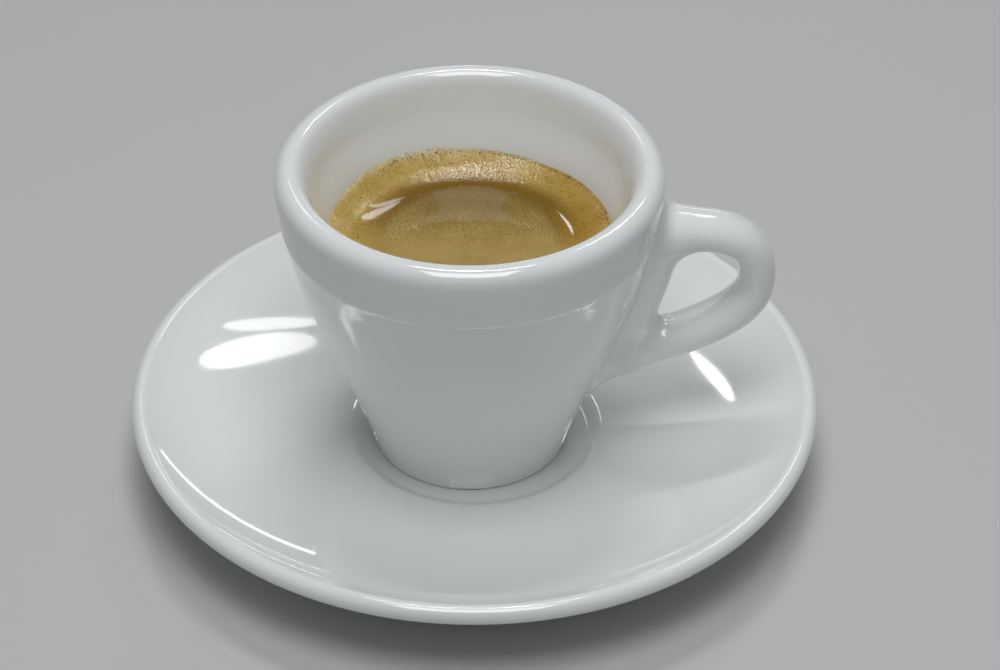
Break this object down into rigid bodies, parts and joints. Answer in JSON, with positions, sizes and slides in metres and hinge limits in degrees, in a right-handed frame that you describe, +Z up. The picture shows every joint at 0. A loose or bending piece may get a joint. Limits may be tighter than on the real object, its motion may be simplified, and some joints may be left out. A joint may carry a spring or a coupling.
{
  "type": "espresso in a cup and saucer",
  "caption": "Thick-walled conical porcelain cup with a rounded lip and ear handle, standing on a dished saucer and partly filled with espresso under crema.",
  "frame": {"origin": "centre of the saucer's foot on the table", "axes": "+Z up; +X towards the cup's handle; Y completes the frame, so the plane Y = 0 cuts the handle in half"},
  "size_m": [0.122, 0.122, 0.0623],
  "materials": {
    "porcelain": "white glossy glaze",
    "espresso": "golden brown crema, satin with wet highlights"
  },
  "bodies": {
    "root": {"saucer": "porcelain", "cup": "porcelain", "espresso": "espresso"}
  },
  "joints": []
}
